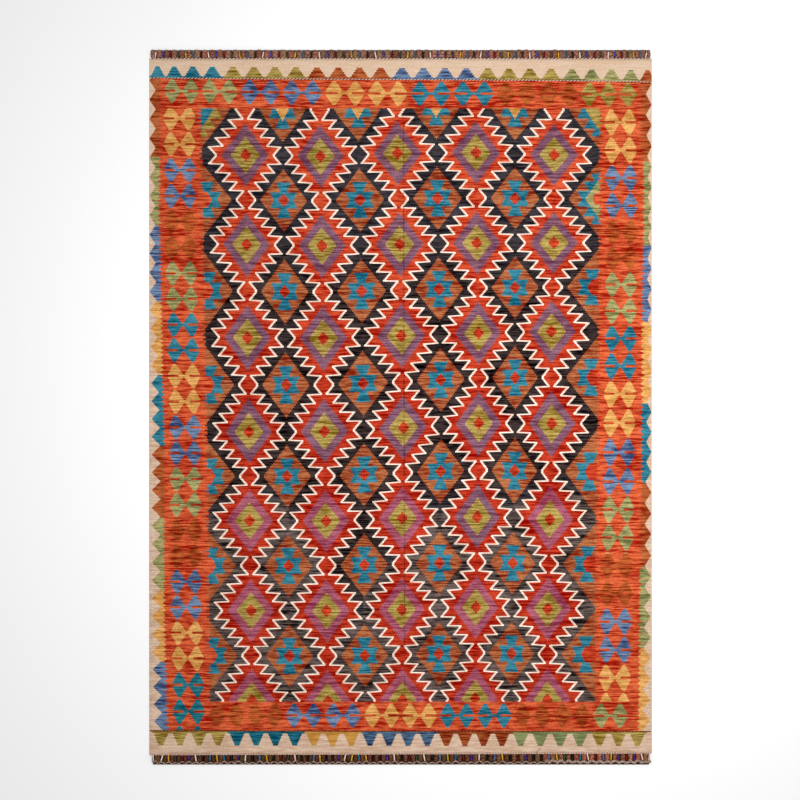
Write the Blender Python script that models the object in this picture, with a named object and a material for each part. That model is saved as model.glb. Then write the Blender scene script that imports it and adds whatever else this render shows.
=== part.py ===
"""A flat-woven rug lying on the floor, with a knotted braid along each end.

The cloth is one woven sheet. Beyond each of its ends the warps are knotted
into a thick braid of dark yarn, whose lumps show from a step away.

+X runs across the rug, +Y along it to the far end, +Z up. The origin is on
the floor under the middle of the rug. Sizes are in metres.
"""

from math import cos, pi, sin, sqrt

import bpy

RUG_WIDTH = 2.010
RUG_LENGTH = 2.862
CLOTH_THICKNESS = 0.003
PIECE_GAP = 0.0003

# The selvedges swell a little at each coloured point that the weaver made.
SELVEDGE_SWELL = 0.0010
SELVEDGE_POINT_PITCH = 0.077
ROWS_PER_POINT = 4

# A soft trough where the rug was once folded in half, just right of its middle.
CREASE_X = 0.0134
CREASE_HALF_WIDTH = 0.009
CREASE_DEPTH = 0.0008

# Plain columns of points on the cloth, as shares of its width.
CLOTH_COLUMNS = (0.0, 0.17, 0.34, 0.66, 0.83, 1.0)

# A twined line runs across the cloth near each end. Its middle lies this far in
# from the cloth's own end, on the left and on the right.
TWINE_LINES = {
    "near": {"left": 0.093, "right": 0.087},
    "far": {"left": 0.078, "right": 0.094},
}
TWINE_HALF_WIDTH = 0.005
TWINE_HEIGHT = 0.0005

# Each braid: how far it reaches along Y at its left and right, how far its ends
# stop short of the selvedges, and how many lumps it has.
BRAIDS = {
    "end_braid_far": {"side": 1, "depth_left": 0.037, "depth_right": 0.037,
                      "short_left": 0.004, "short_right": 0.004, "lumps": 67},
    "end_braid_near": {"side": -1, "depth_left": 0.040, "depth_right": 0.047,
                       "short_left": 0.012, "short_right": 0.008, "lumps": 65},
}
LUMP_HEIGHT = 0.0090
DIP_HEIGHT = 0.0058
BRAID_EDGE_HEIGHT = 0.0026
LUMP_SCALLOP = 0.0024
COLUMNS_PER_LUMP = 4
BRAID_CORNER_RADIUS = 0.016
# How much of its width and height the braid keeps at its very ends.
BRAID_END_FULLNESS = 0.35
# The braid's section: how far across it each row of points lies, and its share
# of the height between the edge and the top.
BRAID_SECTION = ((0.0, 0.0), (0.16, 0.72), (0.5, 1.0), (0.84, 0.72), (1.0, 0.0))

CLOTH_COLOUR = (0.62, 0.10, 0.045)
CLOTH_ROUGHNESS = 0.95
BRAID_COLOUR = (0.060, 0.034, 0.026)
BRAID_ROUGHNESS = 0.9
SMOOTH_BELOW = pi / 5


def between(start, end, share):
    return start + (end - start) * share


def yarn_material(name, colour, roughness):
    material = bpy.data.materials.new(name)
    material.use_nodes = True
    shader = material.node_tree.nodes["Principled BSDF"]
    shader.inputs["Base Color"].default_value = (*colour, 1.0)
    shader.inputs["Roughness"].default_value = roughness
    shader.inputs["Metallic"].default_value = 0.0
    return material


def closed_loft(name, rings, material):
    """One closed body through rings of points. Each ring starts with the top side
    from one edge to the other, and its last two points lie on the floor."""
    count = len(rings[0])
    points = [point for ring in rings for point in ring]
    faces = []
    for row in range(len(rings) - 1):
        here, there = row * count, (row + 1) * count
        for i in range(count):
            after = (i + 1) % count
            faces.append((here + i, here + after, there + after, there + i))
    last_ring = (len(rings) - 1) * count
    floor_corner = count - 1
    for i in range(count - 2):
        faces.append((floor_corner, i + 1, i))
        faces.append((last_ring + floor_corner, last_ring + i, last_ring + i + 1))
    mesh = bpy.data.meshes.new(name)
    mesh.from_pydata(points, [], faces)
    mesh.materials.append(material)
    mesh.shade_smooth()
    mesh.set_sharp_from_angle(angle=SMOOTH_BELOW)
    piece = bpy.data.objects.new(name, mesh)
    bpy.context.scene.collection.objects.link(piece)
    return piece


def braid_depth(braid, x):
    share = x / RUG_WIDTH + 0.5
    return between(braid["depth_left"], braid["depth_right"], share)


def cloth_end(side, x):
    """Where the cloth ends along Y, at a place across the rug."""
    name = "end_braid_far" if side > 0 else "end_braid_near"
    return side * (RUG_LENGTH / 2 - braid_depth(BRAIDS[name], x) - PIECE_GAP)


def cloth_half_width(y):
    wave = cos(2 * pi * y / SELVEDGE_POINT_PITCH)
    return RUG_WIDTH / 2 - SELVEDGE_SWELL * (1 - wave) / 2


def cloth_columns():
    """(share across, how much lower the cloth lies there) from left to right."""
    crease = CREASE_X / RUG_WIDTH + 0.5
    foot = CREASE_HALF_WIDTH / RUG_WIDTH
    folded = [(crease - foot, 0.0), (crease, CREASE_DEPTH), (crease + foot, 0.0)]
    return sorted([(share, 0.0) for share in CLOTH_COLUMNS] + folded)


def twine_line(side, x):
    """Where a twined line's middle lies along Y, at a place across the rug."""
    line = TWINE_LINES["far" if side > 0 else "near"]
    inset = between(line["left"], line["right"], x / RUG_WIDTH + 0.5)
    return cloth_end(side, x) - side * inset


def near_cloth_end(x):
    return cloth_end(-1, x)


def far_cloth_end(x):
    return cloth_end(1, x)


def twine_rows(side):
    """The three rows of points that raise one twined line."""
    rows = []
    for step, rise in ((-1, 0.0), (0, TWINE_HEIGHT), (1, 0.0)):
        def place(x, step=step):
            return twine_line(side, x) + step * TWINE_HALF_WIDTH
        rows.append((place, CLOTH_THICKNESS + rise))
    return rows


def cloth_rows():
    """(function that gives Y from X, height) for each row from the near end."""
    first = [(near_cloth_end, CLOTH_THICKNESS)]
    last = [(far_cloth_end, CLOTH_THICKNESS)]
    return first + twine_rows(-1) + plain_rows() + twine_rows(1) + last


def plain_rows():
    """Rows over the main cloth, close enough to follow its swelling selvedges."""
    length = twine_line(1, 0.0) - twine_line(-1, 0.0)
    count = round(length / SELVEDGE_POINT_PITCH) * ROWS_PER_POINT
    rows = []
    for i in range(1, count):
        def place(x, share=i / count):
            near = twine_line(-1, x) + TWINE_HALF_WIDTH
            far = twine_line(1, x) - TWINE_HALF_WIDTH
            return between(near, far, share)
        rows.append((place, CLOTH_THICKNESS))
    return rows


def kilim_panel():
    rings = []
    for place, height in cloth_rows():
        half = cloth_half_width(place(0.0))
        ring = []
        for share, lower in cloth_columns():
            x = between(-half, half, share)
            ring.append((x, place(x), height - lower))
        ring += [(half, place(half), 0.0), (-half, place(-half), 0.0)]
        rings.append(ring)
    material = yarn_material("kilim_wool", CLOTH_COLOUR, CLOTH_ROUGHNESS)
    return closed_loft("kilim_panel", rings, material)


def end_rounding(distance):
    """How full the braid's width is, this far from its end."""
    if distance >= BRAID_CORNER_RADIUS:
        return 1.0
    short = 1 - distance / BRAID_CORNER_RADIUS
    return max(BRAID_END_FULLNESS, sqrt(1 - short * short))


def end_braid(name):
    braid = BRAIDS[name]
    side = braid["side"]
    left = -RUG_WIDTH / 2 + braid["short_left"]
    right = RUG_WIDTH / 2 - braid["short_right"]
    columns = braid["lumps"] * COLUMNS_PER_LUMP
    rings = []
    for column in range(columns + 1):
        x = between(left, right, column / columns)
        swell = sin(pi * column / COLUMNS_PER_LUMP) ** 2
        full = end_rounding(min(x - left, right - x))
        inner = cloth_end(side, x) + side * PIECE_GAP
        depth = braid_depth(braid, x) - LUMP_SCALLOP * (1 - swell)
        top = between(DIP_HEIGHT, LUMP_HEIGHT, swell)
        # A full section reaches from the cloth to the outer edge. Near the
        # braid's own ends the outer edge draws in to a round corner.
        outer = inner + side * depth * full
        section = []
        for across, share in BRAID_SECTION:
            height = between(BRAID_EDGE_HEIGHT, top, share * full)
            section.append((x, between(inner, outer, across), height))
        section += [(x, outer, 0.0), (x, inner, 0.0)]
        rings.append(section)
    if side > 0:
        rings.reverse()
    material = yarn_material(name + "_yarn", BRAID_COLOUR, BRAID_ROUGHNESS)
    return closed_loft(name, rings, material)


def main():
    for thing in list(bpy.data.objects):
        bpy.data.objects.remove(thing)
    kilim_panel()
    for name in BRAIDS:
        end_braid(name)


main()
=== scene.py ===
"""The looks of a flat-woven kilim rug that lies on a floor, seen from above.

The cloth is one thin sheet. Its pattern is a weaver's chart: each zone of the
rug has a material that works out which yarn lies at a place, from that place's
position on the chart. The charts are bent to the rug's own uneven rows by the
sheet's "Chart" map, so the pattern is as uneven as hand weaving is.

Places on the rug are given in steps of 4 mm, which is one pixel of the photo:
"across" counts from the photo's left side and "down" from its top.
"""

import bpy
import numpy as np
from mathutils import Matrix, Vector


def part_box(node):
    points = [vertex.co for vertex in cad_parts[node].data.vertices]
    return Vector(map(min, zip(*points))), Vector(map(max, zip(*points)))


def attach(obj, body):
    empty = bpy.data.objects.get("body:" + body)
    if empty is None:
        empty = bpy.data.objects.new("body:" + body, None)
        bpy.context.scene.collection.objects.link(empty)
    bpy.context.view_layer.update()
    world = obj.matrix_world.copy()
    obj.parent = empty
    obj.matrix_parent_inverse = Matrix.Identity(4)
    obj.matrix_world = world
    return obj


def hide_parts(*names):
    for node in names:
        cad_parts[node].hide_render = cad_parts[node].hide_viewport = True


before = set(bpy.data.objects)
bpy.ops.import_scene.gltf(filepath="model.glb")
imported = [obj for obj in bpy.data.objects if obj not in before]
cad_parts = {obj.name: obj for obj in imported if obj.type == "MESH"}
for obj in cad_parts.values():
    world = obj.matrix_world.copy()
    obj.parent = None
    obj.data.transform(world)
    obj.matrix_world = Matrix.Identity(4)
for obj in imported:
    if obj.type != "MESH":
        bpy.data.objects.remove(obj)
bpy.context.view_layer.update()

STEP = 0.004
RUG_MIDDLE_ACROSS = 400.55
RUG_MIDDLE_DOWN = 407.05


def box_in_steps(node):
    """A node's left, right, far and near side as places on the rug, in steps."""
    low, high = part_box(node)
    left, right = (RUG_MIDDLE_ACROSS + x / STEP for x in (low.x, high.x))
    far, near = (RUG_MIDDLE_DOWN - y / STEP for y in (high.y, low.y))
    return {"left": left, "right": right, "far": far, "near": near}


CLOTH = box_in_steps("kilim_panel")
BRAIDS = {end: box_in_steps("end_braid_" + end) for end in ("far", "near")}

# ---------------------------------------------------------------- the yarns
# Each yarn is dyed unevenly: a darker and a lighter shade of it run in streaks.
YARNS = {
    "cream": ("#D2B294", "#D8BDA6"),
    # A darker copy of the cream, for the rug's darker near end.
    "near cream": ("#BF9D83", "#D8BCA5"),
    "outline": ("#DDBFAA", "#FFE9DA"),
    "orange red": ("#981005", "#D75C37"),
    "field red": ("#820703", "#C03E25"),
    "crimson": ("#7D0903", "#C94628"),
    "border red": ("#931306", "#DC673E"),
    # The slits' colour is the border red with painted shade, for the shadow in the weave's
    # slits.
    "slit_shade": ("#801407", "#CC5C32"),
    "rust": ("#7B1E06", "#B76639"),
    "brown": ("#6E3212", "#AE5A2A"),
    "tan": ("#731C09", "#B36D44"),
    "lobe brown": ("#701504", "#BB5F2F"),
    "black": ("#070405", "#413534"),
    "charcoal": ("#17161B", "#3E3C42"),
    "grey": ("#15100F", "#6C5C57"),
    "violet": ("#573044", "#866171"),
    "magenta": ("#7B283C", "#AF6072"),
    "olive": ("#6E550F", "#B59D58"),
    "sage": ("#5C6136", "#AFA66F"),
    "ochre": ("#B37835", "#E4AC67"),
    "blue": ("#29385D", "#778DAC"),
    "teal": ("#094F64", "#408698"),
    "green teal": ("#064B5A", "#34808A"),
    # Darker copies of the yarns above, for the rug's darker near end.
    "near rust": ("#6C1804", "#A2552B"),
    "near sage": ("#626B42", "#878D5D"),
    "near ochre": ("#AE7833", "#C9944A"),
    "near blue": ("#152546", "#597690"),
    "near teal": ("#003E51", "#2A7383"),
    "white": ("#E2C4B4", "#FFE9DC"),
    "yellow": ("#B8860E", "#F2C83A"),
    "indigo": ("#2C2C72", "#5C5CB4"),
    "purple": ("#2A1248", "#6E40A0"),
    "madder": ("#4A0C0C", "#9A2A22"),
    "moss": ("#1E3222", "#4E6A4E"),
    "bark": ("#43241B", "#BE846C"),
    "dark bark": ("#22120B", "#895A40"),
    "warp ends": ("#1A100C", "#543A2E"),
    "ash": ("#6E635A", "#C4B6A6"),
    "rose": ("#7A544A", "#CBA696"),
}


def between(start, end, share):
    return start + (end - start) * share


def spot(across, down, height):
    """A place on or over the rug, in metres, from steps and a height."""
    x = (np.asarray(across, float) - RUG_MIDDLE_ACROSS) * STEP
    y = (RUG_MIDDLE_DOWN - np.asarray(down, float)) * STEP
    return np.stack(np.broadcast_arrays(x, y, height), -1)


def new_mesh(name, points, faces):
    mesh = bpy.data.meshes.new(name)
    mesh.from_pydata(points.reshape(-1, 3).tolist(), [], faces.tolist())
    mesh.shade_smooth()
    return mesh


def new_piece(name, mesh, node=None):
    """A piece of the rug, which may take the place of a node."""
    piece = bpy.data.objects.new(name, mesh)
    bpy.context.scene.collection.objects.link(piece)
    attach(piece, "root")
    if node:
        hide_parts(node)
    return piece


def linear(code):
    """The linear colour of a code such as #A8180B."""
    parts = (int(code[place:place + 2], 16) / 255 for place in (1, 3, 5))
    straight = [c / 12.92 if c <= 0.04045 else ((c + 0.055) / 1.055) ** 2.4 for c in parts]
    return (*straight, 1.0)


# ------------------------------------------------- sums and paint in a material
def method(operation, swapped=False):
    """A method of Number that does one of Blender's sums."""

    def operate(number, *others):
        numbers = (*others, number) if swapped else (number, *others)
        return calculate(number.tree, operation, *numbers)

    return operate


class Number:
    """A number that a material works out at each point of a surface."""

    __add__ = method("ADD")
    __radd__ = method("ADD", swapped=True)
    __sub__ = method("SUBTRACT")
    __rsub__ = method("SUBTRACT", swapped=True)
    __mul__ = method("MULTIPLY")
    __rmul__ = method("MULTIPLY", swapped=True)
    __truediv__ = method("DIVIDE")
    __abs__ = method("ABSOLUTE")
    __and__ = method("MULTIPLY")
    __or__ = method("MAXIMUM")
    below = method("LESS_THAN")
    above = method("GREATER_THAN")
    floor = method("FLOOR")
    # The distance to the nearest middle of a repeat, from 0 to half the repeat.
    fold = method("PINGPONG")

    def __init__(self, tree, socket):
        self.tree = tree
        self.socket = socket

    def in_rows(self, height):
        """The middle of the row that this place lies in."""
        return ((self / height).floor() + 0.5) * height

    def kept_to(self, lowest=0.0, highest=1.0):
        node = self.tree.nodes.new("ShaderNodeClamp")
        connect(self.tree, node.inputs["Value"], self)
        node.inputs["Min"].default_value = lowest
        node.inputs["Max"].default_value = highest
        return Number(self.tree, node.outputs[0])


def connect(tree, socket, value):
    if isinstance(value, Number):
        value = value.socket
    if isinstance(value, bpy.types.NodeSocket):
        tree.links.new(value, socket)
    else:
        socket.default_value = value


def calculate(tree, operation, *values):
    node = tree.nodes.new("ShaderNodeMath")
    node.operation = operation
    for socket, value in zip(node.inputs, values):
        connect(tree, socket, value)
    return Number(tree, node.outputs[0])


def mixed(tree, share, first, second):
    """A colour between two colours."""
    node = tree.nodes.new("ShaderNodeMix")
    node.data_type = "RGBA"
    connect(tree, node.inputs["Factor"], share)
    connect(tree, node.inputs["A"], first)
    connect(tree, node.inputs["B"], second)
    return node.outputs["Result"]


def parts_of(tree, socket, kind="XYZ"):
    """The numbers that a vector or a colour holds."""
    node = tree.nodes.new("ShaderNodeSeparate" + kind)
    tree.links.new(socket, node.inputs[0])
    return [Number(tree, part) for part in node.outputs]


def map_place(tree, name):
    """The two numbers that one of the sheet's maps holds."""
    uv = tree.nodes.new("ShaderNodeUVMap")
    uv.uv_map = name
    return parts_of(tree, uv.outputs[0])[:2]


def attribute(tree, name):
    """The three numbers that a colour attribute of a mesh holds."""
    node = tree.nodes.new("ShaderNodeAttribute")
    node.attribute_name = name
    return parts_of(tree, node.outputs["Color"], "Color")


def texture(tree, kind, across, down):
    place = tree.nodes.new("ShaderNodeCombineXYZ")
    connect(tree, place.inputs[0], across)
    connect(tree, place.inputs[1], down)
    node = tree.nodes.new(kind)
    node.noise_dimensions = "2D"
    tree.links.new(place.outputs[0], node.inputs["Vector"])
    return node


def noise(tree, across, down, detail=0.0):
    node = texture(tree, "ShaderNodeTexNoise", across, down)
    node.inputs["Scale"].default_value = 1.0
    node.inputs["Detail"].default_value = detail
    return Number(tree, node.outputs[0])


def random_of(tree, number, start):
    """An even random number from 0 to 1 for each whole number."""
    return Number(tree, texture(tree, "ShaderNodeTexWhiteNoise", number, start).outputs[0])


def new_material(name):
    """A material, its nodes and its shader."""
    material = bpy.data.materials.new(name)
    material.use_nodes = True
    tree = material.node_tree
    return material, tree, tree.nodes["Principled BSDF"]


def lit(tree, colour, light):
    """A colour that is made lighter or darker."""
    node = tree.nodes.new("ShaderNodeVectorMath")
    node.operation = "SCALE"
    connect(tree, node.inputs[0], colour)
    connect(tree, node.inputs["Scale"], light)
    return node.outputs[0]


def lay_wool(tree, shader, colour, roughness, shine, height, depth):
    """Gives a surface its colour, its finish and a relief, this deep in metres."""
    connect(tree, shader.inputs["Base Color"], colour)
    connect(tree, shader.inputs["Roughness"], roughness)
    shader.inputs["Specular IOR Level"].default_value = shine
    bump = tree.nodes.new("ShaderNodeBump")
    bump.inputs["Strength"].default_value = 0.5
    bump.inputs["Distance"].default_value = depth
    connect(tree, bump.inputs["Height"], height)
    tree.links.new(bump.outputs[0], shader.inputs["Normal"])


# ------------------------------------------------------------- woven wool
# The old fold down the rug's middle, which leans a little to the right. It is a shallow trough
# with painted shade along it.
CREASE_ACROSS = 404.1
CREASE_LEAN = 0.0024
CREASE_HALF_WIDTH = 1.4
# The width of the painted shade along the fold.
CREASE_SHADE_WIDTH = 1.0
CREASE_DEPTH = 0.0008
# How far from the rug's middle the fold still shows, and over what length it fades.
CREASE_REACH = 300.0
CREASE_FADE = 25.0
# Its painted shade comes and goes in patches this long, between these two strengths.
CREASE_PATCH = 34.0
CREASE_SHADES = (0.05, 0.62)


def crease_line(down):
    """How far across the rug the fold lies. Down is an array or a Number."""
    return CREASE_ACROSS + (down - RUG_MIDDLE_DOWN) * CREASE_LEAN


def crease_fade(down):
    """Over 1 where the fold shows in full, and 0 or less where it is gone."""
    return (CREASE_REACH - abs(down - RUG_MIDDLE_DOWN)) / CREASE_FADE


class Weave:
    """What every zone of the cloth shares: its maps, its streaks, its grain and its painted
    shade.
    """

    # The wool's streaks: (length, height of a row, how strong, where they start).
    STREAKS = ((27.0, 1.05, 1.75, 0.0), (8.5, 1.05, 1.25, 50.0))
    # Its patches: (width, height, how strong, where they start).
    PATCHES = (34.0, 14.0, 0.62, 31.0)
    THREAD_LENGTH = 1.5
    THREAD_ROW = 1.05
    # How many specks of fuzz lie in a step, across and down.
    FUZZ = (1.3, 2.9)
    # How far apart the warps' ribs and the wefts lie, in steps.
    RIB = 0.735
    WEFT = 0.2625
    RELIEF = 0.0006

    def __init__(self, name):
        self.material, self.tree, self.shader = new_material(name)
        self.across, self.down = map_place(self.tree, "Weave")
        self.chart_across, self.chart_down = map_place(self.tree, "Chart")
        streak = 0.5
        for length, row, strength, start in self.STREAKS:
            rows = (self.down / row).floor() * 7.31 + start
            found = noise(self.tree, self.across / length, rows)
            streak = streak + strength * (found - 0.5)
        width, height, strength, start = self.PATCHES
        patch = noise(self.tree, self.across / width, self.down / height + start)
        streak = streak + strength * (patch - 0.5)
        self.streak = streak.kept_to()

    def colour(self, wanted):
        """The streaky colour of a yarn. A colour that is worked out already stays."""
        if wanted not in YARNS:
            return wanted
        return mixed(self.tree, self.streak, *(linear(code) for code in YARNS[wanted]))

    def mix(self, share, first, second):
        return mixed(self.tree, share, self.colour(first), self.colour(second))

    def by_order(self, place, repeat, yarns):
        """The colour of the motif at a place, where motifs stand in order along a
        border and each yarn serves so many of them."""
        total = sum(count for yarn, count in yarns)
        shades = []
        for shade in (0, 1):
            ramp = self.tree.nodes.new("ShaderNodeValToRGB")
            ramp.color_ramp.interpolation = "CONSTANT"
            stops = ramp.color_ramp.elements
            start = 0
            for yarn, count in yarns:
                stop = stops.new(start / total) if start else stops[0]
                stop.color = linear(YARNS[yarn][shade])
                start += count
            stops.remove(stops[len(stops) - 1])
            connect(self.tree, ramp.inputs[0], (place / repeat) / total)
            shades.append(ramp.outputs[0])
        return mixed(self.tree, self.streak, *shades)

    def crease_shade(self):
        """How dark the painted shade along the old fold down the rug's middle is. It shows more
        in places.
        """
        near = 1.0 - abs(self.across - crease_line(self.down)) / CREASE_SHADE_WIDTH
        depth = noise(self.tree, self.down / CREASE_PATCH, 3.0) * 1.7 - 0.42
        depth = depth.kept_to(*CREASE_SHADES)
        return near.kept_to() * depth * crease_fade(self.down).kept_to()

    def finish(self, colour, *layers, grain=1.0):
        """Lays each (where, colour) and then the grain of the wool, with painted shade between
        its threads and along the old fold, over a colour.
        """
        for where, layer in layers:
            colour = self.mix(where, colour, layer)
        rows = (self.down / self.THREAD_ROW).floor()
        thread = noise(self.tree, self.across / self.THREAD_LENGTH, rows * 5.83)
        across, down = self.FUZZ
        fuzz = noise(self.tree, self.across * across, self.down * down, detail=2.0)
        # The ribs and the wefts give relief, and also painted shade between the threads.
        rib = (self.across / self.RIB).fold(0.5)
        weft = (self.down / self.WEFT).fold(0.5)
        light = 0.85 + 0.62 * grain * (thread - 0.5)
        light = light + 0.24 * fuzz + 0.1 * rib + 0.14 * weft
        # The painted shade of the old fold darkens the wool.
        light = light * (1.0 - self.crease_shade())
        height = 0.9 * rib + 0.7 * weft + 0.5 * thread + 0.9 * fuzz
        lay_wool(self.tree, self.shader, lit(self.tree, colour, light),
                 0.84 + 0.14 * fuzz, 0.0, height, self.RELIEF)
        return self.material


# ------------------------------------------------------------- the zones' lines
# Each line that runs down the rug, as (down, across) where it bends.
DOWN_LINES = {
    "left tips": ((58, 149.35), (300, 149.5), (370, 151.3), (650, 152.0), (731, 154.4)),
    "left notches": ((78, 155.7), (200, 155.5), (250, 155.2), (300, 157.0), (375, 158.4),
                     (445, 160.4), (650, 160.9), (731, 162.4)),
    "left combs": ((78, 160.2), (150, 160.0), (200, 159.2), (290, 161.0), (370, 162.4),
                   (450, 164.4), (600, 164.0), (650, 165.2), (731, 168.0)),
    "field left": ((108, 200.6), (330, 204.2), (430, 206.2), (520, 208.0), (702, 209.4)),
    "field right": ((108, 600.2), (240, 599.8), (330, 598.8), (425, 598.4), (520, 596.6),
                    (702, 596.0)),
    "right combs": ((82, 641.0), (159, 641.5), (165, 643.6), (244, 643.6), (300, 642.2),
                    (480, 641.6), (566, 640.0), (731, 638.4)),
    "right notches": ((82, 645.8), (117, 646.0), (177, 647.8), (240, 648.0), (280, 647.2),
                      (340, 648.0), (382, 648.0), (421, 646.3), (461, 646.3), (500, 644.7),
                      (566, 644.7), (672, 643.4), (731, 642.4)),
    "right tips": ((82, 651.7), (480, 651.5), (600, 651.0), (731, 649.6)),
}
# Each line that runs across the rug, as (across, down).
ACROSS_LINES = {
    "far twine": ((149, 77.8), (240, 78.6), (400, 79.5), (530, 80.2), (652, 81.8)),
    "field far": ((149, 108.4), (652, 108.4)),
    "field near": ((149, 701.7), (652, 701.7)),
    "near twine": ((149, 730.6), (400, 731.2), (652, 731.4)),
}
COMB_ROOM = 3.0


def line_at(table, place):
    places, values = zip(*table)
    return np.interp(place, places, values)


# ------------------------------------------------------------- the charts
# The middle of each unit of the field, as (across, down), row by row. The outermost
# of a row are no units: they only say where the half diamonds at the sides lie.
UNIT_MIDDLES = (
    ((166.5, 155.5), (245.7, 155.0), (320.3, 156.4), (397.4, 153.1), (476.0, 152.6),
     (554.0, 155.0), (633.0, 155.0)),
    ((169.5, 243.5), (246.7, 244.5), (321.8, 245.8), (399.8, 244.4), (476.8, 243.0),
     (553.8, 242.7), (632.5, 243.0)),
    ((171.5, 337.0), (247.4, 337.6), (323.2, 338.5), (401.3, 335.7), (478.6, 333.0),
     (551.1, 331.4), (631.0, 331.4)),
    ((172.5, 432.0), (249.1, 432.1), (324.1, 431.7), (403.7, 427.8), (479.0, 423.0),
     (551.6, 423.5), (630.0, 423.5)),
    ((172.0, 521.0), (249.5, 520.6), (326.1, 521.1), (402.2, 518.2), (477.4, 516.8),
     (549.7, 519.7), (627.0, 519.7)),
    ((173.0, 610.7), (251.3, 610.7), (326.5, 610.9), (401.7, 609.7), (476.0, 606.9),
     (547.5, 608.8), (624.0, 608.8)),
    ((175.0, 700.5), (251.9, 700.5), (328.0, 701.5), (402.6, 700.0), (475.2, 698.5),
     (547.2, 700.0), (624.0, 700.0)),
)
# One repeat of the field on its chart, in steps.
UNIT_ACROSS = 77.2
UNIT_DOWN = 90.0

# Where the middles of the side borders' pairs of lobes run, as (down, across).
LOBE_AXES = {
    "left": ((119, 179.5), (222, 180.3), (274, 181.3), (325, 182.7), (402, 184.6),
             (453, 185.3), (608, 186.1), (659, 187.7), (712, 188.6)),
    "right": ((123, 620.1), (206, 621.7), (286, 621.0), (339, 620.8), (394, 619.8),
              (440, 619.1), (510, 618.2), (567, 616.5), (622, 615.7), (679, 614.7)),
}
# How far down the rug a side border's numbered lobes lie, as (number, down).
LOBES_DOWN = {
    "left": ((0, 118.3), (6, 273.4), (11, 401.5), (16, 530.6), (21, 658.3), (23, 711.6)),
    "right": ((0, 122.3), (3, 205.8), (7, 310.9), (10, 393.7), (13, 481.6), (17, 593.6),
              (20, 677.9), (21, 705.8)),
}
LOBE_REPEAT = 26.0
# How far across the rug an end border's numbered lobes lie, as (number, across).
LOBES_ACROSS = {
    "far": ((0, 172.0), (3, 228.8), (7, 312.6), (11, 398.3), (15, 484.4), (19, 569.5),
            (22, 628.0)),
    "near": ((0, 217.0), (4, 294.0), (8, 372.4), (12, 447.7), (16, 522.5), (19, 582.1),
             (21, 619.9)),
}
LOBE_SLITS = {
    "far": ((172, 90.8), (300, 92.7), (400, 93.6), (470, 93.6), (628, 94.5)),
    "near": ((217, 715.3), (620, 715.7)),
}
END_REPEAT = 21.0
# How many lobes an end border has, and how many rows of them a side border may have.
END_LOBES = {"far": 23, "near": 22}
LOBE_ROWS = 30


def in_turn(count, names):
    """Each of the yarns, with how many motifs in a row it serves."""
    return tuple((name, count) for name in names.split(", "))


# The yarns of the borders' lobes. The left border goes on for two rows more.
LEFT_YARNS = in_turn(2, "ochre, blue, lobe brown, sage, teal, ochre, blue, sage, lobe brown,"
                        " blue, ochre, green teal")
SIDE_YARNS = {"left": LEFT_YARNS, "right": LEFT_YARNS[:-1]}
END_YARNS = {
    "far": in_turn(4, "sage, blue, ochre, teal, lobe brown, olive"),
    "near": in_turn(4, "lobe brown, blue, ochre, teal, lobe brown, sage"),
}

# The selvedges' cream notches, as (number, down), four to each colour.
NOTCHES_DOWN = {
    "left": ((0, 90.0), (4, 167.3), (7, 225.1), (11, 301.0), (15, 374.4), (19, 445.6),
             (23, 516.8), (27, 589.5), (31, 661.0), (35, 730.2)),
    "right": ((0, 94.0), (4, 177.2), (7, 237.8), (11, 320.0), (15, 402.0), (19, 482.0),
              (23, 566.0), (27, 647.7), (31, 731.0)),
}
NOTCH_REPEAT = 20.0
SELVEDGE_YARNS = {
    "left": (("rust", 4.4), ("sage", 3.6),
             *in_turn(4, "blue, ochre, teal, rust, sage, ochre"), ("blue", 6)),
    "right": (("rust", 4.2), ("sage", 4.1), ("blue", 3.7),
              *in_turn(4, "ochre, teal, rust, sage"), ("ochre", 6)),
}

# The cream bands' triangles, as (number, across), and their yarns.
TRIANGLES_ACROSS = {
    "far": ((0, 157.6), (1, 174.0), (2, 192.7), (3, 212.2), (4, 232.9), (8, 317.0),
            (12, 402.0), (16, 487.9), (20, 572.1), (23, 631.1), (24, 647.5)),
    "near": ((0, 161.0), (4, 237.0), (8, 313.9), (11, 369.9), (15, 446.4), (19, 520.6),
             (23, 599.6), (25, 637.4)),
}
TRIANGLE_REPEAT = 20.0
# How far the triangles' base lies off the middle of the twined line.
TRIANGLE_BASE = 0.6
TRIANGLE_YARNS = {
    "far": in_turn(4, "teal, olive, rust, blue, olive, sage, rust"),
    "near": (*in_turn(4, "olive, near teal"), ("near ochre", 3),
             *in_turn(4, "near blue, near rust, near sage, olive")),
}

# The field's zigzag outline: how far it reaches from a unit's middle, how much
# less at each band of rows away from it, and how far it swings out in a band. A bar
# runs between each band and the next.
ZIGZAG_REACH = 28.6
ZIGZAG_RETREAT = 6.55
ZIGZAG_SWING = 7.2
ZIGZAG_BAND = 9.0
ZIGZAG_BANDS = 4.999
BEADS_PER_BAND = 6
OUTLINE_HALF_WIDTH = 1.12
BAR_HALF_HEIGHT = 0.66
# How much the bands lean, and from where and how much the far rows are drawn out.
WEFT_LEAN = 0.05
FAR_ROWS_START = 36.0
FAR_STRETCH = 0.21
# Where down the rug the field's red turns from orange to deep, and over what length.
REDDER_FROM = 150.0
REDDER_OVER = 260.0
# Diamonds as (half width, half height) in steps.
PURPLE_DIAMOND = (23.8, 31.5)
OLIVE_DIAMOND = (14.8, 18.6)
RED_HEART = (6.0, 6.5)
BROWN_DIAMOND = (24.4, 31.4)
FIGURE_HEART = (6.0, 6.4)
CUT_HEART = (7.0, 9.8)
DIAMOND_ROW = 2.0
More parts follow.
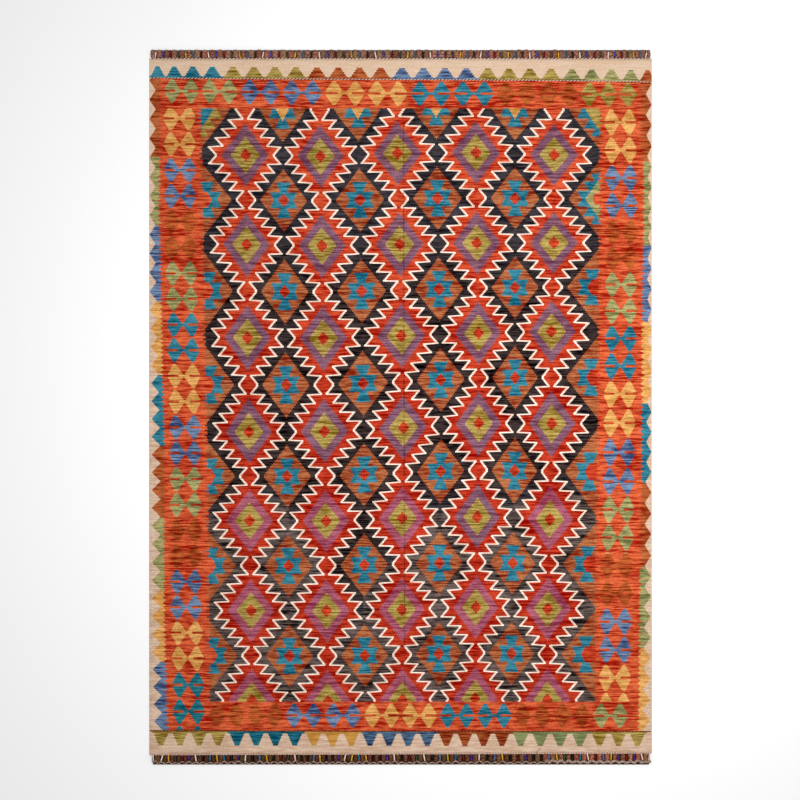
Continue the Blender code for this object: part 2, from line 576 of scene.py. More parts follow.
# The figure in each brown diamond: arms beside its heart and a cap beyond them. Each
# width is given at its part's start, with how much it grows in a step.
ARM_HEIGHT = 8.5
CAP_END = 17.2
STAIR_END = 25.5
ARMS = (10.2, 0.48)
CAPS = (3.4, 0.44)
OPEN_HEART = (4.8, -0.58)
FIRST_STEP = (11.2, 0.62)
NEXT_STEP = (4.6, 0.53)
LAST_STEP = (-1.6, 0.45)
FILLING = (8.2, -0.7)
FILLING_END = 21.5
CORE = (0.8, -0.4)
CORE_END = 7.0


def diamond(across, down, size):
    return (across / size[0] + down / size[1]).below(1.0)


def field_material():
    w = Weave("kilim_field")
    last_unit = (len(UNIT_MIDDLES[0]) - 3) * UNIT_ACROSS
    # Beyond the outermost units no other unit starts, so p just goes on growing.
    outward = (0.0 - w.chart_across) | (w.chart_across - last_unit)
    p = w.chart_across.fold(UNIT_ACROSS / 2) | outward
    # The last rows before the field's far edge are drawn out to reach it.
    drawn_out = (0.0 - w.chart_down - FAR_ROWS_START) | 0.0
    q = (w.chart_down + FAR_STRETCH * drawn_out).fold(UNIT_DOWN / 2)
    inside, outline = zigzag(p, q)
    row = q.in_rows(DIAMOND_ROW)
    p_far = UNIT_ACROSS / 2 - p
    q_far = (UNIT_DOWN / 2 - q).in_rows(DIAMOND_ROW)

    greyness, pinkness, distance = attribute(w.tree, "Lots")
    dark = w.mix((greyness * 2.0).kept_to(), "black", "charcoal")
    late = ((w.down - REDDER_FROM) / REDDER_OVER).kept_to()
    return w.finish(
        w.mix((greyness * 2.0 - 1.0).kept_to(), dark, "grey"),
        (diamond(p_far, q_far, BROWN_DIAMOND), "tan"),
        *figure(w, p_far, q_far, outward.above(UNIT_ACROSS / 4)),
        (inside, w.mix(late, "orange red", "field red")),
        (diamond(p, row, PURPLE_DIAMOND), w.mix(pinkness, "violet", "magenta")),
        (diamond(p, row, OLIVE_DIAMOND), "olive"),
        (diamond(p, row, RED_HEART), "crimson"),
        (outline, "outline"),
        (comb_edge(w, distance), "border red"),
    )


def zigzag(p, q):
    """Where the red inside a unit's zigzag lies, and where its outline does."""
    middle_line = ZIGZAG_REACH + ZIGZAG_SWING / 2 - q * (ZIGZAG_RETREAT / ZIGZAG_BAND)
    bands = (q + WEFT_LEAN * (p - middle_line)) / ZIGZAG_BAND
    bands = bands.kept_to(0.0, ZIGZAG_BANDS)
    band = bands.floor()
    bead = ((bands - band) * BEADS_PER_BAND).floor()
    edge = (ZIGZAG_REACH - band * ZIGZAG_RETREAT
            + (bead + 0.5) * (ZIGZAG_SWING / BEADS_PER_BAND))
    nearest = (bands + 0.5).floor()
    bar_middle = ZIGZAG_REACH + ZIGZAG_SWING - nearest * ZIGZAG_RETREAT
    bar = (abs(bands - nearest).below(BAR_HALF_HEIGHT / ZIGZAG_BAND)
           & abs(p - bar_middle).below(ZIGZAG_RETREAT + OUTLINE_HALF_WIDTH)
           & nearest.above(0.5) & nearest.below(ZIGZAG_BANDS - 0.5))
    return p.below(edge), abs(p - edge).below(OUTLINE_HALF_WIDTH) | bar


def tapered(distance, shape):
    """A width at a distance, from its width at 0 and how much that grows in a step."""
    return shape[0] + shape[1] * distance


def figure(w, p_far, q_far, at_side):
    """The layers of the figure in a brown diamond. At the sides of the field it is
    cut in half, and its heart opens into the border."""
    on_left = w.chart_across.below(0.0)
    at_far_end = w.chart_down.below(0.0)
    low = q_far.below(ARM_HEIGHT)
    middle = q_far.above(ARM_HEIGHT) & q_far.below(CAP_END)
    high = q_far.above(CAP_END) & q_far.below(STAIR_END)
    arms = low & p_far.below(tapered(q_far, ARMS))
    caps = middle & abs(p_far).below(tapered(q_far - ARM_HEIGHT, CAPS))
    open_heart = low & p_far.below(tapered(q_far, OPEN_HEART))
    # Three of the corner figures are stairs of three steps, filled with another yarn.
    stair = at_side & (at_far_end | (w.chart_down.below(UNIT_DOWN) & (1.0 - on_left)))
    whole = 1.0 - stair
    steps = stair & ((low & p_far.below(tapered(q_far, FIRST_STEP)))
                     | (middle & p_far.below(tapered(q_far - ARM_HEIGHT, NEXT_STEP)))
                     | (high & p_far.below(tapered(q_far - CAP_END, LAST_STEP))))
    filling = stair & q_far.below(FILLING_END) & p_far.below(tapered(q_far, FILLING))
    open_filling = filling & (1.0 - at_far_end)
    core = open_filling & p_far.below(tapered(q_far, CORE)) & q_far.below(CORE_END)
    return (
        ((arms | caps) & whole, "teal"),
        (diamond(abs(p_far), q_far, FIGURE_HEART) & whole & (1.0 - at_side), "crimson"),
        (diamond(abs(p_far), q_far, CUT_HEART) & at_far_end & whole, "ochre"),
        (open_heart & at_side & whole, w.mix(on_left, "crimson", "border red")),
        (steps, w.mix(on_left, "teal", "olive")),
        (filling & at_far_end, w.mix(on_left, "olive", "teal")),
        (open_filling, "sage"),
        (core, "border red"),
    )


# The height of a row of weft in the borders' stepped edges.
ROW = 1.3
# The comb's bars repeat this far down the rug and are this thick.
COMB_REPEAT = 5.04
COMB_BAR = 1.5
COMB_START = 2.9


def comb_edge(w, distance):
    """Where the borders' red reaches in between the field's rows. The distance is
    0 at the far side of the comb and 1 well inside the field."""
    bars = (w.down + COMB_START).fold(COMB_REPEAT / 2).below(COMB_BAR / 2)
    rows = random_of(w.tree, (w.down / ROW).floor(), 7.0)
    return distance.below(0.5 + 0.24 * rows - 0.45 * bars)


# A lobe: how far its middle lies from the line between its pair, how far its inner
# and its outer edge reach from that middle beside the slit, and how fast each edge
# draws in from there towards the lobe's tips.
SIDE_LOBE = {"spread": 9.2, "inner": 9.35, "inner_taper": 0.66,
             "outer": 7.6, "outer_taper": 0.52}
END_LOBE = {"spread": 10.5, "inner": 9.5, "inner_taper": 0.67,
            "outer": 9.7, "outer_taper": 0.69}
LOBE_HALF_HEIGHT = 12.0
# Half the thickness of the bridge between a pair's lobes, and of the painted shade of a lobe's
# slit.
BRIDGE_HALF_HEIGHT = 1.3
SLIT_HALF_HEIGHT = 1.2
SLIT_START = 3.7
SLIT_PAST_LOBE = 0.8


def lobes(along, beside, shape):
    """Where a pair of lobes and the painted shade of their slits lie. Along counts from the line
    between the two, and beside from their slits."""
    lobe = along - shape["spread"]
    row = beside.in_rows(ROW)
    inner_edge = row * shape["inner_taper"] - shape["inner"]
    outer_edge = shape["outer"] - row * shape["outer_taper"]
    past_inner = lobe.above(inner_edge) | beside.below(BRIDGE_HALF_HEIGHT)
    body = past_inner & lobe.below(outer_edge) & beside.below(LOBE_HALF_HEIGHT)
    slit_shade = (beside.below(SLIT_HALF_HEIGHT) & lobe.above(-SLIT_START)
            & lobe.below(shape["outer"] + SLIT_PAST_LOBE))
    return body, slit_shade


def with_lobes(w, shape, along, beside, place, repeat, yarns, count):
    """A red border whose lobes' yarns follow in order along it. The place says how
    far along the border something lies, and the count how many lobes there are."""
    body, slit_shade = lobes(along, beside, shape)
    here = place.below((count - 0.5) * repeat + shape["outer"])
    return w.finish("border red", (body & here, w.by_order(place, repeat, yarns)),
                    (slit_shade & here, "slit_shade"))


def side_border_material(side):
    w = Weave("kilim_side_border_" + side)
    return with_lobes(w, SIDE_LOBE, abs(w.chart_across), w.chart_down.fold(LOBE_REPEAT / 2),
                      w.chart_down + LOBE_REPEAT / 2, LOBE_REPEAT, SIDE_YARNS[side], LOBE_ROWS)


def end_border_material(end):
    w = Weave("kilim_end_border_" + end)
    return with_lobes(w, END_LOBE, w.chart_across.fold(END_REPEAT), abs(w.chart_down),
                      w.chart_across + END_REPEAT, END_REPEAT, END_YARNS[end], END_LOBES[end])


# How far down the rug the teeth repeat where a selvedge meets the red border.
TOOTH_REPEAT = {"left": 4.9, "right": 5.36}
# Where down the rug the selvedges' cream grows darker, and over what length.
DARKER_FROM = 100.0
DARKER_OVER = 250.0


def selvedge_material(side):
    """The chart's across is 1 at the colour's tips, 2 at the notches and 3 where
    the colour meets the border."""
    w = Weave("kilim_selvedge_" + side)
    tip = w.chart_down.in_rows(ROW).fold(NOTCH_REPEAT / 2) / (NOTCH_REPEAT / 2)
    cream = (w.chart_across - 1.0).below(1.0 - tip) | w.chart_across.below(1.0)
    rows = random_of(w.tree, (w.down / ROW).floor(), 3.0)
    tooth = w.down.fold(TOOTH_REPEAT[side] / 2) / (TOOTH_REPEAT[side] / 2)
    red = w.chart_across.above(2.4 + 0.4 * rows + 0.8 * tooth)
    yarn = w.by_order(w.chart_down + NOTCH_REPEAT, NOTCH_REPEAT, SELVEDGE_YARNS[side])
    late = ((w.down - DARKER_FROM) / DARKER_OVER).kept_to()
    return w.finish(yarn, (red, "border red"), (cream, w.mix(late, "cream", "near cream")),
                    grain=0.7)


# The triangles of each cream band: half their width at the base, how much it loses
# in a step towards the tip, their height, the height of a row, and the strip of
# their yarn that joins them.
TRIANGLES = {
    "far": {"half": 9.3, "taper": 0.66, "height": 11.5, "row": 2.2, "joined": 1.3},
    "near": {"half": 8.7, "taper": 0.46, "height": 13.6, "row": 2.35, "joined": 1.9},
}


def end_band_material(end):
    """The chart's down counts from the triangles' base towards their tips."""
    w = Weave("kilim_end_band_" + end)
    shape = TRIANGLES[end]
    off_middle = w.chart_across.fold(TRIANGLE_REPEAT / 2)
    row = w.chart_down.in_rows(shape["row"])
    triangle = (off_middle.below(shape["half"] - shape["taper"] * row)
                & row.below(shape["height"]))
    last = TRIANGLES_ACROSS[end][-1][0]
    place = w.chart_across + TRIANGLE_REPEAT / 2
    dyed = ((triangle | w.chart_down.below(shape["joined"])) & place.above(0.0)
            & place.below((last + 1) * TRIANGLE_REPEAT))
    yarn = w.by_order(place, TRIANGLE_REPEAT, TRIANGLE_YARNS[end])
    return w.finish("cream" if end == "far" else "near cream", (dyed, yarn), grain=0.4)


# ------------------------------------------------------------- the sheet
CLOTH_THICKNESS = 0.003
# The cloth's rim is rounded over this width, in steps.
RIM = 0.35
CREASE_ROOM = 2.6


def along_rug(ends, across):
    """A value that goes evenly from its left to its right end."""
    share = (across - CLOTH["left"]) / (CLOTH["right"] - CLOTH["left"])
    return between(*ends, share)


def cloth_end(end, across):
    """How far down an end of the cloth lies. The near one slants a little."""
    if end == "far":
        return np.full_like(across, CLOTH["far"])
    return along_rug((CLOTH["near"], BRAIDS["near"]["far"]), across)


def stretches(lines, counts):
    """Lines from the first to the last, with so many spaces between each two."""
    found = []
    for start, end, count in zip(lines, lines[1:], counts):
        found += [start + (end - start) * i / count for i in range(count)]
    return found + [lines[-1]]


# The stretches of the sheet's grid from left to right, as (zone, how many columns),
# and from the far to the near end, as (zone, how many rows).
COLUMN_STRETCHES = (
    *(("selvedge left", count) for count in (1, 1, 2, 1, 1)), ("side left", 10),
    ("field", 61), ("field", 6), ("field", 59), ("side right", 10),
    *(("selvedge right", count) for count in (1, 1, 2, 1, 1)),
)
ROW_STRETCHES = (
    ("far band", 1), ("far band", 6), ("far border", 10), ("field", 180),
    ("near border", 10), ("near band", 7), ("near band", 1),
)
COLUMN_ZONES = [zone for zone, count in COLUMN_STRETCHES for _ in range(count)]
ROW_ZONES = [zone for zone, count in ROW_STRETCHES for _ in range(count)]


def column_lines(down):
    """How far across each column of points lies at one distance down the rug."""
    at = {name: float(line_at(table, down)) for name, table in DOWN_LINES.items()}
    crease = crease_line(down)
    return stretches((
        CLOTH["left"], CLOTH["left"] + RIM, max(at["left tips"], CLOTH["left"] + 2 * RIM),
        at["left notches"], at["left combs"], at["left combs"] + COMB_ROOM,
        at["field left"] - COMB_ROOM, crease - CREASE_ROOM, crease + CREASE_ROOM,
        at["field right"] + COMB_ROOM, at["right combs"] - COMB_ROOM, at["right combs"],
        at["right notches"], min(at["right tips"], CLOTH["right"] - 2 * RIM),
        CLOTH["right"] - RIM, CLOTH["right"],
    ), [count for zone, count in COLUMN_STRETCHES])


def row_lines(across):
    """How far down each row of points lies, at a place across the rug."""
    lines = [cloth_end("far", across), cloth_end("far", across) + RIM]
    lines += [line_at(table, across) for table in ACROSS_LINES.values()]
    lines += [cloth_end("near", across) - RIM, cloth_end("near", across)]
    return stretches(lines, [count for zone, count in ROW_STRETCHES])


def cloth_points():
    """Across and down for every point of the sheet's grid."""
    middles = row_lines(RUG_MIDDLE_ACROSS)
    across = np.array([column_lines(middle) for middle in middles])
    rows = np.arange(len(middles))
    return across, np.array(row_lines(across))[rows, rows]


def chart_of_field(across, down):
    """The place on the field's chart, found by closing in on it step by step."""
    table = np.array(UNIT_MIDDLES)
    rows, columns = table.shape[:2]
    u = np.full_like(across, (columns - 1) / 2)
    v = np.full_like(down, (rows - 1) / 2)
    for _ in range(12):
        found = bent_place(table, u, v)
        u += (across - found[..., 0]) / UNIT_ACROSS
        v += (down - found[..., 1]) / UNIT_DOWN
    return (u - 1) * UNIT_ACROSS, v * UNIT_DOWN


def bent_place(table, u, v):
    """Where the chart's place (u, v) lies on the rug, between the units around it."""
    rows, columns = table.shape[:2]
    column = np.clip(np.floor(u), 0, columns - 2).astype(int)
    row = np.clip(np.floor(v), 0, rows - 2).astype(int)
    right = (u - column)[..., None]
    lower = (v - row)[..., None]
    top = table[row, column] * (1 - right) + table[row, column + 1] * right
    bottom = table[row + 1, column] * (1 - right) + table[row + 1, column + 1] * right
    return top * (1 - lower) + bottom * lower


def number_at(table, place):
    """The number of the motif at a place, between and beyond the numbered ones."""
    numbers, places = (np.array(column, float) for column in zip(*table))
    slopes = np.diff(numbers) / np.diff(places)
    before = np.minimum(place - places[0], 0.0) * slopes[0]
    after = np.maximum(place - places[-1], 0.0) * slopes[-1]
    return before + np.interp(place, places, numbers) + after


def zone_of(row_zone, column_zone):
    if row_zone in ("far band", "near band") or column_zone.startswith("selvedge"):
        return row_zone if row_zone.endswith("band") else column_zone
    if row_zone == "far border":
        return row_zone
    if row_zone == "near border":
        return column_zone if column_zone == "side left" else row_zone
    return column_zone


def selvedge_depth(side, across, down):
    """0 at the rug's edge, 1 at the tips, 2 at the notches, 3 at the combs."""
    outward = -1 if side == "left" else 1
    knots = [np.full_like(down, CLOTH[side])]
    knots += [line_at(DOWN_LINES[side + name], down) for name in (" tips", " notches", " combs")]
    knots.append(knots[-1] - outward * COMB_ROOM)
    depth = np.zeros_like(across)
    for number, (outer, inner) in enumerate(zip(knots, knots[1:])):
        share = (across - outer) / (inner - outer)
        depth = np.where(share > 0, number + np.minimum(share, 1.0), depth)
    return depth


def chart_of(zone, across, down):
    """The place on a zone's own chart."""
    if zone == "field":
        return chart_of_field(across, down)
    kind, which = zone.split()
    if kind == "side":
        off_axis = across - line_at(LOBE_AXES[which], down)
        return off_axis, number_at(LOBES_DOWN[which], down) * LOBE_REPEAT
    if kind == "selvedge":
        number = number_at(NOTCHES_DOWN[which], down)
        return selvedge_depth(which, across, down), number * NOTCH_REPEAT
    end = kind
    if which == "border":
        number = number_at(LOBES_ACROSS[end], across) - 0.5
        return number * END_REPEAT, down - line_at(LOBE_SLITS[end], across)
    number = number_at(TRIANGLES_ACROSS[end], across)
    twine = line_at(ACROSS_LINES[end + " twine"], across)
    toward_tips = twine - down if end == "far" else down - twine
    return number * TRIANGLE_REPEAT, toward_tips - TRIANGLE_BASE


def grid_faces(rows, columns):
    corner = np.arange(rows * columns).reshape(rows, columns)
    faces = np.stack((corner[:-1, :-1], corner[:-1, 1:], corner[1:, 1:], corner[1:, :-1]), -1)
    return faces.reshape(-1, 4)


# The dark ground: charcoal at the far end, then black, and in each half of the
# gaps between the units' columns, from the left, a streaky grey from here on down.
CHARCOAL_SHARE = 0.36
CHARCOAL_ENDS = (225.0, 300.0)
GREY_STARTS = (498, 482, 504, 596, 548, 492, 492, 490, 484, 474)
GREY_FADE = 24.0
# The purple is violet down to this row of units, and magenta below it, but for one.
LAST_VIOLET_ROW = 3
VIOLET_UNIT = (4, 3)
PINKEST = (0.08, 0.9)


def field_lots(down, u, v):
    """What lot of wool the weaver used: how grey the ground and how pink the purple
    is. Each face keeps to the lot of its middle."""
    middle_u = u.mean(1, keepdims=True) + 0 * u
    middle_v = v.mean(1, keepdims=True) + 0 * v
    gap = np.clip(np.floor(2 * middle_u / UNIT_ACROSS + 1), 0, 9).astype(int)
    starts = np.array(GREY_STARTS, float)[gap]
    grey = np.clip((down - starts) / GREY_FADE, 0.0, 1.0)
    charcoal = 1 - np.clip((down - CHARCOAL_ENDS[0]) / np.diff(CHARCOAL_ENDS)[0], 0.0, 1.0)
    row = np.round(middle_v / UNIT_DOWN)
    column = np.round(middle_u / UNIT_ACROSS)
    pink = (row > LAST_VIOLET_ROW) & ~((row == VIOLET_UNIT[0]) & (column == VIOLET_UNIT[1]))
    return np.maximum(grey, CHARCOAL_SHARE * charcoal), np.where(pink, PINKEST[1], PINKEST[0])


def field_distance(across, down):
    """0 at the far side of the comb at the field's edges, 1 at its near side."""
    left = across - line_at(DOWN_LINES["field left"], down)
    right = line_at(DOWN_LINES["field right"], down) - across
    return ((np.minimum(left, right) + COMB_ROOM) / (2 * COMB_ROOM)).clip(0.0, 1.0)


def cloth_heights(across, down):
    """How high the top side lies, with the trough of the fold."""
    off_crease = abs(across - crease_line(down)) / CREASE_HALF_WIDTH
    fade = np.clip(crease_fade(down), 0.0, 1.0)
    return CLOTH_THICKNESS - CREASE_DEPTH * np.exp(-off_crease ** 2) * fade


def cloth_sheet(materials):
    across, down = cloth_points()
    rows, columns = across.shape
    top = cloth_heights(across, down)
    bottom = np.zeros_like(top)
    # The outermost points of both sides meet half way up, so that the edge is round.
    on_rim = np.ones((rows, columns), bool)
    on_rim[1:-1, 1:-1] = False
    top[on_rim] = bottom[on_rim] = CLOTH_THICKNESS / 2
    points = np.concatenate([spot(across, down, height).reshape(-1, 3)
                             for height in (top, bottom)])
    same = np.arange(len(points))
    rim = np.flatnonzero(on_rim)
    same[rim + rows * columns] = rim
    faces = np.concatenate([grid_faces(rows, columns)[:, ::-1],
                            same[grid_faces(rows, columns) + rows * columns]])
    used, order = np.unique(faces, return_inverse=True)
    mesh = new_mesh("kilim_cloth", points[used], order.reshape(-1, 4))
    dress(mesh, materials, across, down)
    return new_piece("kilim_cloth", mesh, "kilim_panel")


def dress(mesh, materials, across, down):
    """Gives the sheet its maps, its wool lots and a material for each zone."""
    for material in materials.values():
        mesh.materials.append(material)
    zones = list(materials)
    face_zones = np.array([
        [zones.index(zone_of(r, c)) for c in COLUMN_ZONES] for r in ROW_ZONES
    ]).ravel()
    corners = grid_faces(*across.shape)[:, ::-1]
    across, down = across.ravel()[corners], down.ravel()[corners]
    chart = np.zeros((*corners.shape, 2))
    lots = np.zeros((*corners.shape, 4))
    lots[..., 3] = 1.0
    for index, zone in enumerate(zones):
        faces = face_zones == index
        a, d = across[faces], down[faces]
        u, v = chart_of(zone, a, d)
        chart[faces] = np.stack((u, v), -1)
        if zone == "field":
            lots[faces, :, :3] = np.stack((*field_lots(d, u, v), field_distance(a, d)), -1)
    weave = np.stack((across, down), -1)
    low, high = weave.min((0, 1)), weave.max((0, 1))
    flat_map = (weave - low) / (high - low)
    flat_map[..., 1] = 1.0 - flat_map[..., 1]

    def both_sides(values):
        """The underside's corners run the other way round."""
        return np.concatenate([values, values[:, ::-1]]).astype(np.float32).ravel()

    for name, values in (("OFBake", flat_map), ("Chart", chart), ("Weave", weave)):
        layer = mesh.uv_layers.new(name=name, do_init=False)
        layer.uv.foreach_set("vector", both_sides(values))
    wool = mesh.attributes.new("Lots", "FLOAT_COLOR", "CORNER")
    wool.data.foreach_set("color", both_sides(lots))
    mesh.polygons.foreach_set("material_index", np.tile(face_zones, 2).astype(np.int32))
    mesh.update()


def kilim_cloth():
    sides, ends = ("left", "right"), ("far", "near")
    return cloth_sheet({
        "field": field_material(),
        **{"side " + side: side_border_material(side) for side in sides},
        **{"selvedge " + side: selvedge_material(side) for side in sides},
        **{end + " border": end_border_material(end) for end in ends},
        **{end + " band": end_band_material(end) for end in ends},
    })


# ------------------------------------------------------------- cords and braids
UP = np.array([0.0, 0.0, 1.0])
ALONG = np.array([1.0, 0.0, 0.0])
# The braids' lumps, wraps and loops vary along them.
random = np.random.default_rng(14)
FIBRE_RELIEF = 0.0004
# How far short of the rug's or the braid's sides each of these stops, in steps.
SHORT = {"braid": 0.2, "twine": 0.6, "warps": 0.8, "inner cord": 0.8, "outer cord": 1.0}


def spun_material(name, dark, light, tint=None):
    """Spun and plied wool: light and dark fibres that run slantwise round it."""
    material, tree, shader = new_material(name)
    place = tree.nodes.new("ShaderNodeTexCoord").outputs["Object"]
    x, y, z = parts_of(tree, place)
    fibres = noise(tree, (x + y) * 260.0, (x - y + z) * 1500.0, detail=2.0)
    blotches = noise(tree, x * 120.0, y * 160.0, detail=1.0)
    share = (fibres * 0.9 + blotches * 2.0 - 0.95).kept_to()
    colour = mixed(tree, share, linear(dark), linear(light))
    lay_wool(tree, shader, tint(tree, colour) if tint else colour, 0.9, 0.03, fibres,
             FIBRE_RELIEF)
    return material


class Bundle:
    """One piece that is made of many lengths of yarn."""

    # The yarns' materials, which all bundles share.
    made = {}

    def __init__(self, name, node=None, slot="braid_yarn"):
        self.name, self.node, self.slot = name, node, slot
        self.points, self.faces, self.yarns = [], [], []
        self.count = 0

    def add(self, points, faces, yarn):
        self.points.append(points)
        self.faces.append(faces + self.count)
        self.yarns += [yarn] * len(faces)
        self.count += len(points)

    def piece(self):
        mesh = new_mesh(self.name, np.concatenate(self.points), np.concatenate(self.faces))
        names = sorted(set(self.yarns))
        for name in names:
            if name not in self.made:
                label = "yarn_" + name.replace(" ", "_")
                self.made[name] = spun_material(label, *YARNS[name])
            mesh.materials.append(self.made[name])
        order = [names.index(yarn) for yarn in self.yarns]
        mesh.polygons.foreach_set("material_index", order)
        return new_piece(self.name, mesh, self.node)


def unit(vectors):
    return vectors / np.linalg.norm(vectors, axis=-1, keepdims=True)


def square_to(path, axis):
    """Two directions square to a path at each point, the first square to the axis."""
    along = unit(np.gradient(path, axis=0))
    first = unit(np.cross(along, axis))
    return first, np.cross(first, along)


def ring_faces(rings, sides):
    """The faces between rings of points that follow each other."""
    ring = np.arange(rings - 1)[:, None] * sides
    side = np.arange(sides)[None, :]
    after = (side + 1) % sides
    faces = np.stack((ring + side, ring + after, ring + sides + after, ring + sides + side), -1)
    return faces.reshape(-1, 4)


def tube(path, radius, sides, axis):
    """A round tube along a path. Its ends taper to a point."""
    first, second = square_to(path, axis)
    radii = np.full(len(path), radius)
    radii[[0, -1]] *= 0.1
    turn = (2 * np.pi * np.arange(sides) / sides)[:, None]
    ring = np.cos(turn) * first[:, None] + np.sin(turn) * second[:, None]
    points = path[:, None] + radii[:, None, None] * ring
    return points.reshape(-1, 3), ring_faces(len(path), sides)


def lay_cord(bundle, middle, strand, twist, pitch, yarns, sides=5):
    """Strands of the given yarns that turn round each other along a path. Strand
    and twist are their radius and how far they lie off the path, in metres."""
    first, second = square_to(middle, UP)
    lengths = np.linalg.norm(np.diff(middle, axis=0), axis=1).cumsum()
    lengths = np.concatenate([[0.0], lengths])
    for number, yarn in enumerate(yarns):
        turn = 2 * np.pi * (lengths / pitch + number / len(yarns))[:, None]
        off_path = np.reshape(twist, (-1, 1))
        path = middle + off_path * (np.cos(turn) * first + np.sin(turn) * second)
        bundle.add(*tube(path, strand, sides, UP), yarn)


def evenly(start, end, gap):
    """Places from start to end, about a gap apart."""
    return np.linspace(start, end, round(abs(end - start) / gap) + 1)


def across_box(box, kind, gap):
    """Places about a gap apart, from the left to the right side of a box in steps."""
    return evenly(box["left"] + SHORT[kind], box["right"] - SHORT[kind], gap)


POINTS_A_TURN = 9
# How high a twined line lies, and how far its strands lie off its middle.
TWINE_HEIGHT = 0.0041
TWINE_TWIST = 0.0010
TWINES = {
    "far": {"yarns": ("white", "black"), "pitch": 0.0139, "strand": 0.0012},
    "near": {"yarns": ("warp ends", "rust"), "pitch": 0.0134, "strand": 0.0016},
}


def twined_line(end, yarns, pitch, strand):
    """A cord of two strands that is twined into the cloth right across the rug."""
    across = across_box(CLOTH, "twine", pitch / STEP / POINTS_A_TURN)
    down = line_at(ACROSS_LINES[end + " twine"], across)
    bundle = Bundle("twined_line_" + end, slot="kilim_wool")
    lay_cord(bundle, spot(across, down, TWINE_HEIGHT), strand, TWINE_TWIST, pitch, yarns)
    return bundle.piece()


# The coloured threads wound round each braid, as (where a run of wraps starts, its
# yarns). The wraps of a run lie evenly apart, up to where the next one starts.
EVEN_RUN = "white indigo madder moss yellow teal black"
LATER_RUN = "yellow teal black white indigo madder moss"
WRAP_RUNS = {
    "far": (
        (155.8, EVEN_RUN), (208.7, EVEN_RUN), (263.2, EVEN_RUN), (319.5, EVEN_RUN),
        (375.6, "white indigo madder moss"),
        (407.9, LATER_RUN), (460.5, LATER_RUN), (508.2, LATER_RUN), (558.5, LATER_RUN),
        (608.3, "white indigo madder moss yellow blue"), (646.2, "white"), (654.0, ""),
    ),
    "near": (
        (153.5, "white"),
        (162.0, "white yellow moss madder purple"),
        (196.0, "white black teal yellow teal black purple"),
        (245.6, "white black blue yellow black madder moss"),
        (295.3, "white black black blue yellow black black purple"),
        (345.0, "white yellow teal yellow black black purple"),
        (394.4, "white black madder moss"),
        (424.4, "white black blue yellow teal madder purple"),
        (479.2, "white black blue yellow black madder purple black black blue yellow moss"
                " black teal"),
        (588.0, "white madder blue yellow purple madder purple"),
        (642.0, "white"), (649.2, "white"), (652.0, ""),
    ),
}
# A braid's section where a wrap draws it in and at the middle of a lump: how wide it
# is to either side of its middle line, in steps, and how high it stands, in metres.
# Pairs hold a value at the rug's left side and at its right side.
NECK_HALF_WIDTH = {"far": (2.8, 2.8), "near": (2.8, 3.2)}
NECK_HEIGHT = 0.0062
LUMP_HALF_WIDTH = {"far": (4.15, 4.15), "near": (3.8, 4.4)}
LUMP_HEIGHT = 0.0112
# The middle line of each braid's lumps and of its necks, as a place down the rug.
LUMP_MIDDLE = {"far": (54.2, 54.2), "near": (759.1, 757.8)}
NECK_MIDDLE = {"far": (54.9, 54.9), "near": (758.3, 756.8)}
# A lump fills its stretch between two wraps from this share of it to the same share
# short of its end.
NECK_SHARE = {"far": 0.05, "near": 0.14}
# How much of its neck's width and height a braid keeps at its very tips.
TIP_SHARE = 0.12
# Each lump has rings of points at these shares of its length.
LUMP_RINGS = (0.0, 0.03, 0.1, 0.22, 0.36, 0.5, 0.64, 0.78, 0.9, 0.97, 1.0)
BRAID_SIDES = 16
# Each lump's size, how far it lies off its line, in steps, and how light it is.
LUMP_SIZES = (0.9, 1.06)
LUMP_SHIFTS = (-0.25, 0.25)
LUMP_LIGHTS = (0.6, 1.15)
# The colours that some lumps lean to.
REDDISH = "#86382C"
GREENISH = "#7C663E"
# How light each braid is along its length, as (across, share). The near one grows lighter to the
# right.
BRAID_LIGHT = {
    "far": ((149, 0.9), (652, 0.88)),
    "near": ((149, 0.7), (300, 0.62), (440, 0.7), (530, 1.05), (590, 1.6), (652, 1.75)),
}


def wraps_of(end):
    """(place across the rug, yarn) of each wrap of a braid."""
    found = []
    for (start, yarns), (stop, _) in zip(WRAP_RUNS[end], WRAP_RUNS[end][1:]):
        names = yarns.split()
        for order, yarn in enumerate(names):
            found.append((start + (stop - start) * order / len(names), yarn))
    return found


def braid_tint_and_shade(tree, colour):
    """Each lump is a little redder, greener or darker than the next, and painted shade
    darkens it towards its ends, where a thread draws it in."""
    hue, fade, swell = attribute(tree, "Lump")
    colour = mixed(tree, (hue * 4.0 - 2.8).kept_to(0.0, 0.3), colour, linear(REDDISH))
    colour = mixed(tree, (0.9 - hue * 4.5).kept_to(0.0, 0.4), colour, linear(GREENISH))
    # Painted shade: dark at the lump's ends, where it is drawn in, and full light at its middle.
    return lit(tree, colour, fade * (0.07 + 1.1 * swell * swell))


